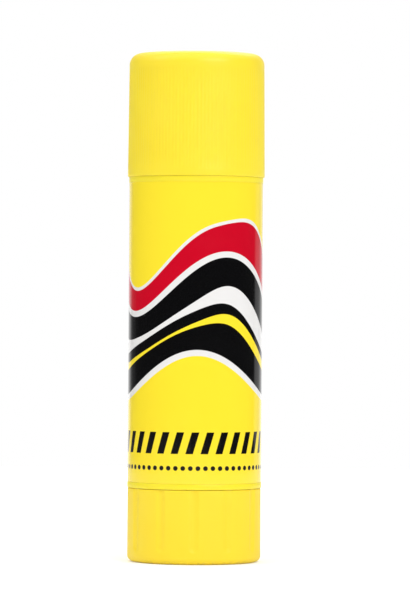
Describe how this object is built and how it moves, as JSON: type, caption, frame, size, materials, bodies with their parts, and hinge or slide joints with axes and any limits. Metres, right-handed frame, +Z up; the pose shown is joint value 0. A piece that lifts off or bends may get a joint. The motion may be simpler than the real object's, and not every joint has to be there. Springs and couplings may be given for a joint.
{
  "type": "glue stick",
  "caption": "Twist-up glue stick: a fluted knob at the foot turns a screw that lifts the glue out of a round barrel, under a finely ribbed pull-off cap.",
  "frame": {"origin": "centre of the knob's foot, on the surface that the stick stands on", "axes": "+Z up the stick towards the cap's top; -Y out of the front of the label; the label's overlapped seam faces +Y"},
  "size_m": [0.03, 0.03, 0.1113],
  "materials": {
    "yellow_plastic": "moulded, satin gloss",
    "label_film": "printed film, high gloss",
    "white_plastic": "moulded, matte",
    "glue_paste": "waxy",
    "seal_liner": "soft foamed liner"
  },
  "bodies": {
    "barrel": {"barrel": "yellow_plastic", "label": "label_film"},
    "knob": {"knob": "yellow_plastic", "spindle": "white_plastic"},
    "carrier": {"glue_carrier": "white_plastic", "glue": "glue_paste"},
    "cap": {"cap": "yellow_plastic", "cap_seal": "seal_liner"}
  },
  "joints": [
    {"name": "knob_turn", "type": "hinge", "parent": "barrel", "child": "knob", "pos_m": [0, 0, 0], "axis": [0, 0, 1], "range_deg": [0, 4320]},
    {"name": "carrier_rise", "type": "slide", "parent": "barrel", "child": "carrier", "axis": [0, 0, 1], "range_m": [0, 0.072]},
    {"name": "cap_pull", "type": "slide", "parent": "carrier", "child": "cap", "axis": [0, 0, 1], "range_m": [0, 0.04]}
  ],
  "couplings": [
    {"joint": "knob_turn", "follows": "carrier_rise", "rad_per_m": 1047.2}
  ]
}
